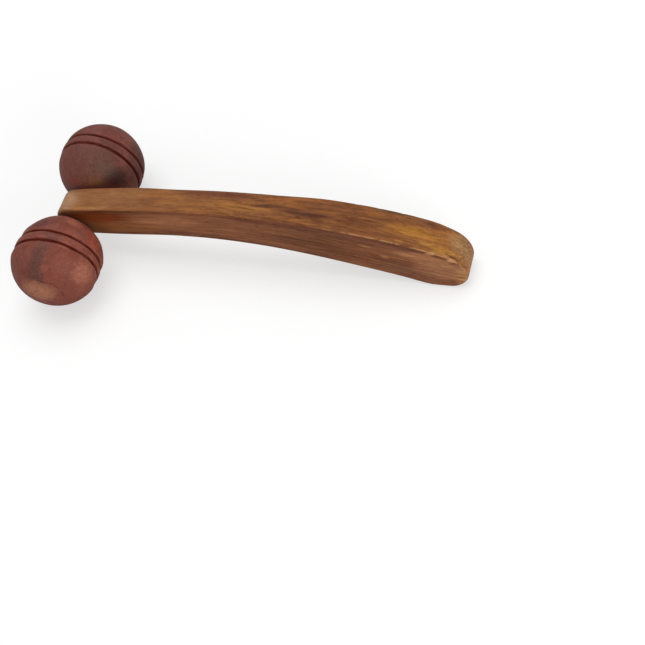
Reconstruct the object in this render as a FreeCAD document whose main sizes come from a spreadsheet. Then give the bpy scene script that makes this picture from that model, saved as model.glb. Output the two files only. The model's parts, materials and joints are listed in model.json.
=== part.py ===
import FreeCAD, Part
import Sketcher
import os

# Hand-held massage roller: a curved wooden handle whose head carries a steel
# rod crossways, with one turned wooden ball spinning freely on each end of it.
#
# Frame: +X from the head towards the tail, +Y to the right-hand ball, +Z up.
# The origin is the middle of the resting footprint. The roller stands on its
# two balls and on the small flat under the tail, all at Z = 0.
#
# The handle is drawn about the middle of the rod ("the axle"). The other
# bodies are drawn about their own Z axis, which their Placement lays along the
# rod, pointing outwards.

V = FreeCAD.Vector

# Sketch point positions and the built-in sketch geometry
START, END, CENTRE = 1, 2, 3
HORIZONTAL_AXIS, VERTICAL_AXIS = -1, -2
ORIGIN = (-1, 1)

LEFT, RIGHT = -1, 1

# ---------------------------------------------------------------- dimensions

# (alias, millimetres or a sum of earlier aliases, meaning)
SIZES = [
    # ball; heights are measured outwards from its centre
    ("ball_radius", 22.5, "ball"),
    ("ball_offset", 31.75, "ball centre from the middle of the handle"),
    ("ball_hub", 21.94, "ball centre to the small flat face beside the handle"),
    ("cut_over", 2.0, "overrun of the turned cuts past the ball"),
    ("groove_offset", 2.85, "decorative groove from the ball's equator"),
    ("groove_depth", 0.9, "decorative groove depth"),
    ("groove_sag", 0.18, "drop of the ball surface from the equator to the groove"),
    ("groove_mouth", 0.85, "half width of the V at the ball surface"),
    ("groove_floor", 0.22, "half width of the V at its floor"),
    ("groove_over", 0.3, "overrun of the V past the ball radius"),
    ("groove_flare", 0.24, "extra half width of the V at its overrun"),
    ("groove_round", 0.4, "softened shoulders of the groove"),
    # where the middle of the rod sits in the model frame
    ("axle_x", -91.5, "rod centre, along the handle"),
    ("axle_z", "ball_radius", "rod centre above the table"),
    # rod
    ("rod_radius", 2.5, "steel rod"),
    ("rod_half", 46.1, "half length of the rod"),
    ("rod_break", 0.4, "chamfer at the rod's ends"),
    ("tap_radius", 1.55, "tapped hole in the rod's end"),
    ("tap_depth", 9.5, "depth of the tapped hole"),
    ("tap_cone", 0.9, "drill cone below the tapped hole"),
    # fits
    ("fit_gap", 0.02, "radial gap of a tight fit"),
    ("running_gap", 0.08, "radial gap between the rod and a turning ball"),
    ("ball_bore", "rod_radius + running_gap", "bore radius of the ball"),
    ("rod_hole", "rod_radius + fit_gap", "hole for the rod in the handle"),
    # plug, and the hole it shares with the screw head
    ("plug_radius", 4.0, "wooden plug"),
    ("plug_base", 18.25, "ball centre to the plug's inner face"),
    ("plug_break", 0.18, "broken edge"),
    ("recess_radius", "plug_radius + fit_gap", "hole for the screw head and the plug"),
    ("recess_floor", 14.15, "ball centre to the floor of that hole"),
    ("recess_break", 0.22, "broken edge at the mouth of that hole"),
    # spacer washer between handle and ball
    ("spacer_outer", 5.0, "outer radius"),
    ("spacer_inner", "rod_radius + fit_gap", "inner radius"),
    ("spacer_thick", 2.0, "thickness"),
    ("spacer_break", 0.3, "rounded rim"),
    # retaining washer at the rod's end
    ("washer_outer", 3.5, "outer radius"),
    ("washer_inner", 1.6, "inner radius"),
    ("washer_thick", 0.5, "thickness"),
    # retaining screw
    ("screw_seat", "rod_half + washer_thick", "middle of the handle to under the head"),
    ("screw_radius", 1.5, "shank radius"),
    ("screw_length", 8.0, "shank length under the head"),
    ("screw_tip", 0.4, "chamfer at the tip"),
    ("screw_head", 2.8, "head radius"),
    ("screw_height", 1.8, "head height"),
    ("screw_crown", 0.7, "rounding of the head"),
    ("slot_half", 0.4, "half width of the driver slot"),
    ("slot_depth", 0.7, "driver slot depth"),
    ("slot_over", 1.0, "overrun of the slot cut above the head"),
    # handle
    ("blank_half", 13.0, "half width of the blank that the side outline is cut in"),
    ("head_half", 7.7, "half width of the head"),
    ("head_straight", 14.0, "end of the parallel head, from the axle"),
    ("nose_x", -0.7, "centre of the round nose, along the handle"),
    ("nose_z", 1.7, "centre of the round nose, above the axle"),
    ("nose_radius", 8.75, "round nose"),
    ("edge_round", 1.2, "rounding of every long edge"),
    ("waste_reach", 40.0, "plan waste, across from the middle and ahead of the axle"),
    ("waste_end", 222.5, "plan waste, from the axle to beyond the tail"),
]

TABLE = "0 - axle_z"    # height of the table, seen from the axle

# Cubic curves of the handle, about the axle: the names of the two pole
# coordinates, the knots, and the poles.
CURVES = {
    "top": (
        ("along", "up"),
        [0.0, 0.30, 0.55, 0.76, 0.86, 0.92, 0.96, 1.0],
        [(-1.78, 10.38), (12.44, 12.15), (58.17, 18.06), (117.98, 16.52),
         (161.88, 10.2), (191.06, 1.48), (204.04, -5.2), (206.69, -19.52),
         (199.29, TABLE), (196.5, TABLE)]),
    "belly": (
        ("along", "up"),
        [0.0, 0.10, 0.25, 0.45, 0.65, 0.82, 1.0],
        [(187.5, TABLE), (184.2, TABLE), (173.2, -19.4), (148.44, -13.1),
         (109.56, -4.05), (67.93, -2.45), (32.02, -5.44), (10.81, -6.81),
         (-0.52, -7.05)]),
    "plan": (
        ("along", "across"),
        [0.0, 0.24, 0.5, 0.76, 0.93, 1.0],
        [("head_straight", "head_half"), (55.0, 7.85), (105.0, 9.1), (155.0, 9.65),
         (190.0, 9.65), (202.2, 9.75), (205.9, 6.6), (206.1, 0.0)]),
}


def pole_names(curve_name):
    """The two aliases of each pole, such as top_along_1 and top_up_1."""
    axes, _, poles = CURVES[curve_name]
    return [tuple("%s_%s_%d" % (curve_name, axis, number) for axis in axes)
            for number in range(1, len(poles) + 1)]


for curve_name, (_, _, poles) in CURVES.items():
    for number, (aliases, pole) in enumerate(zip(pole_names(curve_name), poles), start=1):
        for alias, size in zip(aliases, pole):
            SIZES.append((alias, size, "%s curve, pole %d" % (curve_name, number)))

VALUE = {}


# A size is written as a sum of aliases and plain numbers, such as
# "ball_radius + 1"; these give its value now and its formula for the document.
def amount(text):
    total, sign = 0.0, 1.0
    for word in text.split():
        if word in ("+", "-"):
            sign = 1.0 if word == "+" else -1.0
        else:
            total += sign * (VALUE[word] if word in VALUE else float(word))
            sign = 1.0
    return total


def formula(text):
    return " ".join("sizes." + word if word in VALUE else word for word in text.split())


def signed(text, side):
    """A single alias, turned negative on the left."""
    return "0 - " + text if side == LEFT else text


doc = FreeCAD.newDocument("massage_roller")
sheet = doc.addObject("Spreadsheet::Sheet", "sizes")
for row, (alias, size, meaning) in enumerate(SIZES, start=1):
    VALUE[alias] = amount(str(size))
    sheet.set("A%d" % row, alias)
    sheet.set("B%d" % row, "=" + size if isinstance(size, str) else "%.4f" % size)
    sheet.set("C%d" % row, meaning)
    sheet.setAlias("B%d" % row, alias)
doc.recompute()


# ------------------------------------------------------------ sketch helpers

def origin_item(body, role):
    return [item for item in body.Origin.OriginFeatures if item.Role == role][0]


def new_sketch(body, name, role):
    sketch = body.newObject("Sketcher::SketchObject", name)
    sketch.AttachmentSupport = [(origin_item(body, role), "")]
    sketch.MapMode = "FlatFace"
    return sketch


def measure(sketch, text, kind, *where):
    """A dimension in the sketch, bound to the sheet."""
    index = sketch.addConstraint(Sketcher.Constraint(kind, *where, amount(text)))
    sketch.setExpression("Constraints[%d]" % index, formula(text))


def join(sketch, *points):
    """Holds two points together; each is given as geometry, position."""
    sketch.addConstraint(Sketcher.Constraint("Coincident", *points))


def locate(sketch, geo, point, across, up):
    """Ties one sketch point to its two sizes, or to an axis where a size is zero."""
    for kind, text, axis in (("DistanceX", across, VERTICAL_AXIS),
                             ("DistanceY", up, HORIZONTAL_AXIS)):
        if amount(text) == 0:
            sketch.addConstraint(Sketcher.Constraint("PointOnObject", geo, point, axis))
        else:
            measure(sketch, text, kind, *ORIGIN, geo, point)


def add_line(sketch, start, end):
    return sketch.addGeometry(Part.LineSegment(start, end), False)


def add_arc(sketch, centre, radius, start, end):
    """An arc that runs anticlockwise between two points."""
    circle = Part.Circle(centre, V(0, 0, 1), radius)
    arc = Part.ArcOfCircle(circle, circle.parameter(start), circle.parameter(end))
    return sketch.addGeometry(arc, False)


def add_curve(sketch, curve_name, side=RIGHT):
    """One of CURVES with every pole tied to the sheet, mirrored for the left."""
    knots = CURVES[curve_name][1]
    places = [(first, signed(second, side)) for first, second in pole_names(curve_name)]
    curve = Part.BSplineCurve()
    curve.buildFromPolesMultsKnots([V(amount(first), amount(second), 0)
                                    for first, second in places],
                                   [4] + [1] * (len(knots) - 2) + [4], knots, False, 3)
    geo = sketch.addGeometry(curve, False)
    # the pole circles this exposes are numbered straight after the curve
    sketch.exposeInternalGeometry(geo)
    for number, (first, second) in enumerate(places, start=1):
        locate(sketch, geo + number, CENTRE, first, second)
    return geo


def polygon(sketch, corners):
    """A closed outline of straight lines, each corner tied to the sheet."""
    points = [V(amount(across), amount(up), 0) for across, up in corners]
    lines = [add_line(sketch, start, end)
             for start, end in zip(points, points[1:] + points[:1])]
    for line, following in zip(lines, lines[1:] + lines[:1]):
        join(sketch, line, END, following, START)
    for line, corner in zip(lines, corners):
        locate(sketch, line, START, *corner)


# ----------------------------------------------------------- feature helpers

def new_body(label):
    body = doc.addObject("PartDesign::Body", "Body_" + label)
    body.Label = label
    return body


def finish(body, feature):
    body.Tip = feature
    doc.recompute()
    return feature


def revolve(body, name, sketch, kind="Revolution"):
    """Turns a sketch about the body's Z axis; a Groove cuts."""
    feature = body.newObject("PartDesign::" + kind, name)
    feature.Profile = sketch
    feature.ReferenceAxis = (sketch, ["V_Axis"])
    feature.Angle = 360.0
    sketch.Visibility = False
    return finish(body, feature)


def turned(body, name, corners, kind="Revolution"):
    """A turned polygon; its corners are (radius, height)."""
    sketch = new_sketch(body, name + "Sketch", "XZ_Plane")
    polygon(sketch, corners)
    return revolve(body, name, sketch, kind)


def bored(body, name, radius, bottom, top):
    """A round cut about the body's Z axis."""
    turned(body, name, [("0", bottom), (radius, bottom), (radius, top), ("0", top)], "Groove")


def cut_through(body, name, sketch):
    pocket = body.newObject("PartDesign::Pocket", name)
    pocket.Profile = sketch
    pocket.Type = "ThroughAll"
    pocket.SideType = "Symmetric"
    return finish(body, pocket)


def circle_edges(feature, wanted):
    """Names of the circular edges centred on Z whose radius and height are wanted."""
    names = []
    for number, edge in enumerate(feature.Shape.Edges, start=1):
        if edge.Degenerated or not isinstance(edge.Curve, Part.Circle):
            continue
        centre = edge.Curve.Center
        if (abs(centre.x) < 0.02 and abs(centre.y) < 0.02
                and wanted(edge.Curve.Radius, centre.z)):
            names.append("Edge%d" % number)
    return names


def rim_edges(feature, rim_radius, *heights):
    """Names of the circular edges of one radius at any of the heights."""
    def wanted(radius, height):
        return (abs(radius - rim_radius) < 0.02
                and any(abs(height - level) < 0.02 for level in heights))
    return circle_edges(feature, wanted)


def dress_up(body, kind, name, edges, size):
    """A Fillet or a Chamfer on edges of the body's latest feature."""
    base = body.Tip
    feature = body.newObject("PartDesign::" + kind, name)
    feature.Base = (base, edges)
    prop = "Radius" if kind == "Fillet" else "Size"
    setattr(feature, prop, VALUE[size])
    feature.setExpression(prop, formula(size))
    return finish(body, feature)


def place(body, seat="0", side=None):
    """Puts a body at its seat along the rod, its own +Z outwards on a given side."""
    where = ("axle_x", signed(seat, side), "axle_z")
    rotation = FreeCAD.Rotation()
    if side is not None:
        rotation = FreeCAD.Rotation(V(1, 0, 0), -90.0 * side)
    body.Placement = FreeCAD.Placement(V(*[amount(text) for text in where]), rotation)
    for axis, text in zip("xyz", where):
        body.setExpression(".Placement.Base." + axis, formula(text))
    return body


def height_on_ball(radius):
    """Height at which the ball's surface has the given radius about its axis."""
    return (VALUE["ball_radius"] ** 2 - radius ** 2) ** 0.5


# -------------------------------------------------------------------- handle

def side_outline(body):
    """Round nose, arched top ending in a bullnose, resting flat, hollow belly."""
    sketch = new_sketch(body, "SideOutline", "XZ_Plane")
    top = add_curve(sketch, "top")
    belly = add_curve(sketch, "belly")

    def pole(curve_name, index):
        return V(*[VALUE[alias] for alias in pole_names(curve_name)[index]], 0)

    flat = add_line(sketch, pole("top", -1), pole("belly", 0))
    join(sketch, flat, START, top, END)
    join(sketch, flat, END, belly, START)
    nose = add_arc(sketch, V(VALUE["nose_x"], VALUE["nose_z"], 0), VALUE["nose_radius"],
                   pole("top", 0), pole("belly", -1))
    join(sketch, nose, START, top, START)
    join(sketch, nose, END, belly, END)
    measure(sketch, "nose_radius", "Radius", nose)
    return sketch


def plan_waste(body, side_name, side):
    """Area outside one side of the plan outline."""
    sketch = new_sketch(body, "PlanWaste" + side_name, "XY_Plane")
    curve = add_curve(sketch, "plan", side)
    far, near = signed("waste_reach", side), signed("head_half", side)
    tail = pole_names("plan")[-1][0]
    corners = [(tail, "0"), ("waste_end", "0"), ("waste_end", far),
               ("0 - waste_reach", far), ("0 - waste_reach", near), ("head_straight", near)]
    points = [V(amount(along), amount(across), 0) for along, across in corners]
    lines = [add_line(sketch, start, end) for start, end in zip(points, points[1:])]
    join(sketch, lines[0], START, curve, END)
    for line, following, corner in zip(lines, lines[1:], corners[1:]):
        join(sketch, line, END, following, START)
        locate(sketch, line, END, *corner)
    join(sketch, lines[-1], END, curve, START)
    return sketch


def long_edges(shape):
    """Names of the edges that follow an outline, clear of the middle plane."""
    names = []
    for number, edge in enumerate(shape.Edges, start=1):
        ends = [vertex.Point for vertex in edge.Vertexes]
        middle = edge.valueAt(0.5 * (edge.FirstParameter + edge.LastParameter))
        crosses = len(ends) == 2 and ends[0].y * ends[1].y < 0
        if min(abs(point.y) for point in ends + [middle]) > 1.0 and not crosses:
            names.append("Edge%d" % number)
    return names


def make_handle():
    body = new_body("handle")
    outline = side_outline(body)
    blank = body.newObject("PartDesign::Pad", "Blank")
    blank.Profile = outline
    blank.SideType = "Symmetric"
    blank.Length = 2 * VALUE["blank_half"]
    blank.setExpression("Length", "sizes.blank_half * 2")
    finish(body, blank)

    # Waste taken off both sides leaves the plan outline: a parallel head, then
    # a slow swell to the tail, whose corners are rounded in plan.
    for side_name, side in (("Right", RIGHT), ("Left", LEFT)):
        cut_through(body, "Trim" + side_name, plan_waste(body, side_name, side))
    dress_up(body, "Fillet", "EdgeRounding", long_edges(body.Tip.Shape), "edge_round")

    hole = new_sketch(body, "RodHoleSketch", "XZ_Plane")
    ring = hole.addGeometry(Part.Circle(V(0, 0, 0), V(0, 0, 1), VALUE["rod_hole"]), False)
    join(hole, ring, CENTRE, *ORIGIN)
    measure(hole, "rod_hole", "Radius", ring)
    cut_through(body, "RodHole", hole)
    return place(body)


# --------------------------------------------------------------------- balls

def is_groove_shoulder(radius, height):
    """True for circles on the ball's surface near its equator."""
    on_ball = abs((radius ** 2 + height ** 2) ** 0.5 - VALUE["ball_radius"]) < 0.01
    return on_ball and abs(height) < 6.0


def make_ball(label, side):
    """A bored sphere with a flat hub face, two V-grooves and an outer recess."""
    body = new_body(label)
    blank = body.newObject("PartDesign::AdditiveSphere", "BallBlank")
    blank.setExpression("Radius", formula("ball_radius"))
    finish(body, blank)
    below, above = "0 - ball_radius - cut_over", "ball_radius + cut_over"
    bored(body, "HubFace", "ball_radius", below, "0 - ball_hub")
    bored(body, "Bore", "ball_bore", below, above)
    bored(body, "Recess", "recess_radius", "recess_floor", above)

    floor = "ball_radius - groove_sag - groove_depth"
    outside = "ball_radius + groove_over"
    groove = turned(body, "TurnedGroove", [
        (floor, "groove_offset - groove_floor"),
        (outside, "groove_offset - groove_mouth - groove_flare"),
        (outside, "groove_offset + groove_mouth + groove_flare"),
        (floor, "groove_offset + groove_floor"),
    ], "Groove")
    pair = body.newObject("PartDesign::Mirrored", "GroovePair")
    pair.Originals = [groove]
    pair.MirrorPlane = (origin_item(body, "XY_Plane"), [""])
    finish(body, pair)
    soft = dress_up(body, "Fillet", "GrooveShoulders",
                    circle_edges(pair, is_groove_shoulder), "groove_round")
    mouth = VALUE["recess_radius"]
    dress_up(body, "Chamfer", "MouthBreak",
             rim_edges(soft, mouth, height_on_ball(mouth)), "recess_break")
    return place(body, "ball_offset", side)


def make_plug(label, side):
    """A short dowel whose outer end is turned to the ball's own surface."""
    body = new_body(label)
    sketch = new_sketch(body, "PlugSketch", "XZ_Plane")
    ball, radius, base = VALUE["ball_radius"], VALUE["plug_radius"], VALUE["plug_base"]
    rim = height_on_ball(radius)
    floor = add_line(sketch, V(0, base, 0), V(radius, base, 0))
    wall = add_line(sketch, V(radius, base, 0), V(radius, rim, 0))
    crown = add_arc(sketch, V(0, 0, 0), ball, V(radius, rim, 0), V(0, ball, 0))
    axis = add_line(sketch, V(0, ball, 0), V(0, base, 0))
    for line, following in ((floor, wall), (wall, crown), (crown, axis), (axis, floor)):
        join(sketch, line, END, following, START)
    join(sketch, crown, CENTRE, *ORIGIN)
    sketch.addConstraint(Sketcher.Constraint("Horizontal", floor))
    sketch.addConstraint(Sketcher.Constraint("Vertical", wall))
    for point in (START, END):
        sketch.addConstraint(Sketcher.Constraint("PointOnObject", axis, point, VERTICAL_AXIS))
    measure(sketch, "plug_radius", "DistanceX", *ORIGIN, wall, START)
    measure(sketch, "plug_base", "DistanceY", *ORIGIN, floor, START)
    measure(sketch, "ball_radius", "Radius", crown)
    dowel = revolve(body, "Dowel", sketch)
    dress_up(body, "Chamfer", "RimBreak", rim_edges(dowel, radius, rim, base), "plug_break")
    return place(body, "ball_offset", side)


# ------------------------------------------------------------------ hardware

def make_rod():
    body = new_body("axle_rod")
    turned(body, "Rod", [
        ("0", "rod_half - tap_depth - tap_cone"),
        ("tap_radius", "rod_half - tap_depth"),
        ("tap_radius", "rod_half"),
        ("rod_radius - rod_break", "rod_half"),
        ("rod_radius", "rod_half - rod_break"),
        ("rod_radius", "0 - rod_half + rod_break"),
        ("rod_radius - rod_break", "0 - rod_half"),
        ("tap_radius", "0 - rod_half"),
        ("tap_radius", "0 - rod_half + tap_depth"),
        ("0", "0 - rod_half + tap_depth + tap_cone"),
    ])
    return place(body, side=RIGHT)


def make_washer(label, side, kind, seat, rim=None):
    """A washer whose inner face lies at seat, measured out from the middle plane."""
    body = new_body(label)
    inner, outer, thick = kind + "_inner", kind + "_outer", kind + "_thick"
    ring = turned(body, "Ring", [(inner, "0"), (outer, "0"), (outer, thick), (inner, thick)])
    if rim:
        dress_up(body, "Fillet", "RimRounding",
                 rim_edges(ring, VALUE[outer], 0.0, VALUE[thick]), rim)
    return place(body, seat, side)


def make_screw(label, side):
    body = new_body(label)
    blank = turned(body, "ScrewBlank", [
        ("0", "0 - screw_length"),
        ("screw_radius - screw_tip", "0 - screw_length"),
        ("screw_radius", "0 - screw_length + screw_tip"),
        ("screw_radius", "0"),
        ("screw_head", "0"),
        ("screw_head", "screw_height"),
        ("0", "screw_height"),
    ])
    dress_up(body, "Fillet", "HeadCrown",
             rim_edges(blank, VALUE["screw_head"], VALUE["screw_height"]), "screw_crown")
    # driver slot: a bar across the head, cut sideways through its top
    slot = new_sketch(body, "SlotSketch", "XZ_Plane")
    floor, above = "screw_height - slot_depth", "screw_height + slot_over"
    polygon(slot, [("0 - slot_half", floor), ("slot_half", floor),
                   ("slot_half", above), ("0 - slot_half", above)])
    cut_through(body, "DriverSlot", slot)
    return place(body, "screw_seat", side)


# ------------------------------------------------------------------ assembly

bodies = [make_handle(), make_rod()]
for name, side in (("left", LEFT), ("right", RIGHT)):
    bodies += [
        make_washer(name + "_spacer_washer", side, "spacer", "head_half", "spacer_break"),
        make_ball(name + "_ball", side),
        make_washer(name + "_retaining_washer", side, "washer", "rod_half"),
        make_screw(name + "_retaining_screw", side),
        make_plug(name + "_end_plug", side),
    ]
doc.recompute()

trouble = []
for obj in doc.Objects:
    if any(word in ("Invalid", "Error") for word in obj.State):
        trouble.append("%s: %s" % (obj.Name, obj.State))
    if obj.TypeId == "Sketcher::SketchObject" and obj.solve() != 0:
        trouble.append("%s does not solve" % obj.Name)
for body in bodies:
    shape = body.Shape
    if shape.isNull() or not shape.isValid():
        trouble.append("%s has no valid shape" % body.Label)
    elif len(shape.Solids) != 1:
        trouble.append("%s has %d solids" % (body.Label, len(shape.Solids)))
if trouble:
    raise RuntimeError("; ".join(trouble))

os.makedirs("parts", exist_ok=True)
for body in bodies:
    body.Shape.exportStep("parts/%s.step" % body.Label)
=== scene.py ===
import json
import math

import bpy
import numpy as np
from mathutils import Matrix, Vector, noise as field_noise


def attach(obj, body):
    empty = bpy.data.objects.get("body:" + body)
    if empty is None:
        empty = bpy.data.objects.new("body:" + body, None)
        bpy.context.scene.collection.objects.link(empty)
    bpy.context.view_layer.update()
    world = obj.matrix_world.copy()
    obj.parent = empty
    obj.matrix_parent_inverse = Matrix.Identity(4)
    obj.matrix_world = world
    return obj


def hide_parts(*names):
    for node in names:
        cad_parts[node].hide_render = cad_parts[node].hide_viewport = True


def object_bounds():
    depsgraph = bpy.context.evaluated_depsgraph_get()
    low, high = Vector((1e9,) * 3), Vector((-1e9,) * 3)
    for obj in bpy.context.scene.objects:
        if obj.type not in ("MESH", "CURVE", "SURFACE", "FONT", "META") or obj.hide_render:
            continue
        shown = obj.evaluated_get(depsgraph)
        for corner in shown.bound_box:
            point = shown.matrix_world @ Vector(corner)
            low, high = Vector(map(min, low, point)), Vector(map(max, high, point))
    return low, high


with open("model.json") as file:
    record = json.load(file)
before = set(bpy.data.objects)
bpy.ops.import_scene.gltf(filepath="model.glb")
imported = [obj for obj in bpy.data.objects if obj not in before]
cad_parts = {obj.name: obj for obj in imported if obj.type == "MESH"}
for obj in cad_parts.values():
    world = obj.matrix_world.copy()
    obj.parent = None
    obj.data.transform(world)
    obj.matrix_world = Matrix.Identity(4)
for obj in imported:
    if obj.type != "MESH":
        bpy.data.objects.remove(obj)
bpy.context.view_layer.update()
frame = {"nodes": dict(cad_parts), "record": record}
pieces = frame["nodes"]
joints = {joint["name"]: joint for joint in frame["record"]["behaviour"]["joints"]}
scene = bpy.context.scene

AXLE = Vector(joints["left_ball_spin"]["pos_m"])
AXLE.y = 0.0
AXLE_X, AXLE_Z = AXLE.x * 1000.0, AXLE.z * 1000.0
BALL_Y = abs(joints["right_ball_spin"]["pos_m"][1]) * 1000.0


# ---------------------------------------------------------------- node helpers
class Value:
    """A node's output. Sums, products and the methods below add nodes to its look."""

    def __init__(self, look, socket):
        self.look = look
        self.socket = socket

    def __add__(self, other):
        return self.look.math("ADD", self, other)

    def __radd__(self, other):
        return self.look.math("ADD", other, self)

    def __sub__(self, other):
        return self.look.math("SUBTRACT", self, other)

    def __rsub__(self, other):
        return self.look.math("SUBTRACT", other, self)

    def __mul__(self, other):
        return self.look.math("MULTIPLY", self, other)

    def size(self):
        return self.look.math("ABSOLUTE", self)

    def ramp(self, low, high, to_low=0.0, to_high=1.0, blend="SMOOTHSTEP"):
        """Goes from to_low where the value is low to to_high where it is high."""
        inputs = {"Value": self, "From Min": low, "From Max": high,
                  "To Min": to_low, "To Max": to_high}
        return self.look.add("MapRange", inputs, interpolation_type=blend)

    def toward(self, colour, amount):
        return self.look.mix(amount, self, colour)

    def shaded(self, value, warm):
        """Darkens or lightens a colour; the darker it gets, the redder it turns."""
        dark = self.look.math("MINIMUM", value, 1.0)
        blue = value * self.look.math("POWER", dark, warm)
        green = value * self.look.math("POWER", dark, warm * 0.5)
        return self.look.vmath("MULTIPLY", self, self.look.join(value, green, blue))


class Look:
    """Short calls for building one material's node tree."""

    def __init__(self, name):
        self.mat = bpy.data.materials.new(name)
        self.mat.use_nodes = True
        self.tree = self.mat.node_tree
        self.tree.nodes.clear()
        out = self.tree.nodes.new("ShaderNodeOutputMaterial")
        self.bsdf = self.tree.nodes.new("ShaderNodeBsdfPrincipled")
        self.tree.links.new(self.bsdf.outputs[0], out.inputs[0])

    def put(self, socket, value):
        """Links a Value or sets a number or tuple; colours gain alpha 1, None is left out."""
        if isinstance(value, Value):
            self.tree.links.new(value.socket, socket)
        elif isinstance(value, tuple):
            socket.default_value = value + (1.0,) * (len(socket.default_value) - len(value))
        elif value is not None:
            socket.default_value = value

    def add(self, kind, inputs, output=0, **settings):
        node = self.tree.nodes.new("ShaderNode" + kind)
        for key, setting in settings.items():
            setattr(node, key, setting)
        for key, value in inputs.items():
            self.put(node.inputs[key], value)
        return Value(self, node.outputs[output])

    def math(self, operation, first, second=None):
        return self.add("Math", {0: first, 1: second}, operation=operation)

    def vmath(self, operation, first, second):
        return self.add("VectorMath", {0: first, 1: second}, operation=operation)

    def split(self, vector):
        node = self.tree.nodes.new("ShaderNodeSeparateXYZ")
        self.put(node.inputs[0], vector)
        return [Value(self, socket) for socket in node.outputs]

    def join(self, x, y, z):
        return self.add("CombineXYZ", {0: x, 1: y, 2: z})

    def place_mm(self):
        """Object coordinates in millimetres about the axle's middle."""
        place = self.vmath("MULTIPLY", self.add("TexCoord", {}, "Object"), (1000.0,) * 3)
        return self.vmath("SUBTRACT", place, (AXLE_X, 0.0, AXLE_Z))

    def noise(self, point, detail=3.0, rough=0.5, distort=0.0):
        inputs = {"Vector": point, "Scale": 1.0, "Detail": detail,
                  "Roughness": rough, "Distortion": distort}
        return self.add("TexNoise", inputs, "Fac")

    def mottle(self, point, per_mm, **settings):
        """Noise with the given blotches per mm, alike on all axes or given for each."""
        scale = per_mm if isinstance(per_mm, tuple) else (per_mm,) * 3
        return self.noise(self.vmath("MULTIPLY", point, scale), **settings)

    def streaks(self, point, along, across, seed, axis=0, **settings):
        """Noise whose blotches are `along` mm long on one axis and `across` mm wide."""
        scale = [1.0 / across] * 3
        scale[axis] = 1.0 / along
        point = self.vmath("MULTIPLY", point, tuple(scale))
        shift = (seed * 1.37, seed * 2.11 + 3.0, seed * 0.73 - 5.0)
        return self.noise(self.vmath("ADD", point, shift), **settings)

    def mix(self, amount, first, second, mode="MIX"):
        return self.add("Mix", {0: amount, 6: first, 7: second}, 2,
                        data_type="RGBA", blend_type=mode)

    def attribute(self, name):
        return self.add("Attribute", {}, "Fac", attribute_name=name)

    def spot(self, point, centre, size, soft=0.55):
        """A soft patch: 1 at its centre, 0 beyond its size in mm on each axis."""
        point = self.vmath("SUBTRACT", point, centre)
        point = self.vmath("MULTIPLY", point, tuple(1.0 / reach for reach in size))
        length = self.add("VectorMath", {0: point}, "Value", operation="LENGTH")
        return length.ramp(low=1.0, high=1.0 - soft)

    def bump(self, height, distance, strength):
        """Surface relief; distance is in metres."""
        return self.add("Bump", {"Strength": strength, "Distance": distance, "Height": height})

    def finish(self, colour, rough, normal=None, metallic=0.0, specular=0.5,
               coat=0.0, coat_rough=0.3):
        for key, value in {"Base Color": colour, "Roughness": rough, "Metallic": metallic,
                           "Specular IOR Level": specular, "Coat Weight": coat,
                           "Coat Roughness": coat_rough, "Normal": normal}.items():
            self.put(self.bsdf.inputs[key], value)
        return self.mat


def srgb(*channels):
    """Linear colour from 0-255 sRGB channels."""
    def linear(level):
        level /= 255.0
        return level / 12.92 if level <= 0.04045 else ((level + 0.055) / 1.055) ** 2.4
    return tuple(linear(level) for level in channels)


# ---------------------------------------------------------------- shape helpers
def spline(poles, knots, count):
    """Points of a clamped cubic spline."""
    knot = np.concatenate([[knots[0]] * 3, knots, [knots[-1]] * 3])
    at = np.linspace(knots[0], knots[-1] - 1e-9, count)
    basis = [((low <= at) & (at < high)).astype(float) for low, high in zip(knot, knot[1:])]
    for degree in (1, 2, 3):
        grown = []
        for i in range(len(knot) - 1 - degree):
            start, end = knot[i], knot[i + degree + 1]
            rise, fall = knot[i + degree] - start, end - knot[i + 1]
            left = (at - start) / rise * basis[i] if rise > 0 else 0.0 * at
            right = (end - at) / fall * basis[i + 1] if fall > 0 else 0.0 * at
            grown.append(left + right)
        basis = grown
    return sum(weight[:, None] * np.array(pole, float) for weight, pole in zip(basis, poles))


class Outline:
    """Signed distance to a closed plane outline, negative inside, read off a grid."""

    def __init__(self, points, low, high, step=0.5):
        self.low, self.step = np.array(low, float), step
        self.counts = [int((end - start) / step) + 1 for start, end in zip(low, high)]
        axes = [start + step * np.arange(n) for start, n in zip(low, self.counts)]
        spots = np.stack([g.ravel() for g in np.meshgrid(*axes, indexing="ij")], 1)
        nearest = np.full(len(spots), 1e9)      # squared distance to the outline
        inside = np.zeros(len(spots), bool)
        for start, end in zip(points, np.roll(points, -1, 0)):
            edge = end - start
            if edge @ edge < 1e-12:
                continue
            offset = spots - start
            share = np.clip(offset @ edge / (edge @ edge), 0, 1)
            gap = offset - share[:, None] * edge
            nearest = np.minimum(nearest, (gap * gap).sum(1))
            if start[1] != end[1]:
                straddle = (start[1] > spots[:, 1]) != (end[1] > spots[:, 1])
                crossing = start[0] + (spots[:, 1] - start[1]) * edge[0] / edge[1]
                inside ^= straddle & (spots[:, 0] < crossing)
        self.value = (np.sqrt(nearest) * np.where(inside, -1.0, 1.0)).reshape(self.counts)

    def __call__(self, first, second):
        place = [(c - low) / self.step for c, low in zip((first, second), self.low)]
        i, j = [np.clip(np.floor(c).astype(int), 0, n - 2) for c, n in zip(place, self.counts)]
        across, up = place[0] - i, place[1] - j
        grid = self.value
        return ((grid[i, j] * (1 - up) + grid[i, j + 1] * up) * (1 - across)
                + (grid[i + 1, j] * (1 - up) + grid[i + 1, j + 1] * up) * across)


def ease(value, low, high):
    """Smooth step from 0 at low to 1 at high."""
    t = np.clip((value - low) / (high - low), 0, 1)
    return t * t * (3 - 2 * t)


def bell(value, spread):
    return np.exp(-(value / spread) ** 2)


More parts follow.
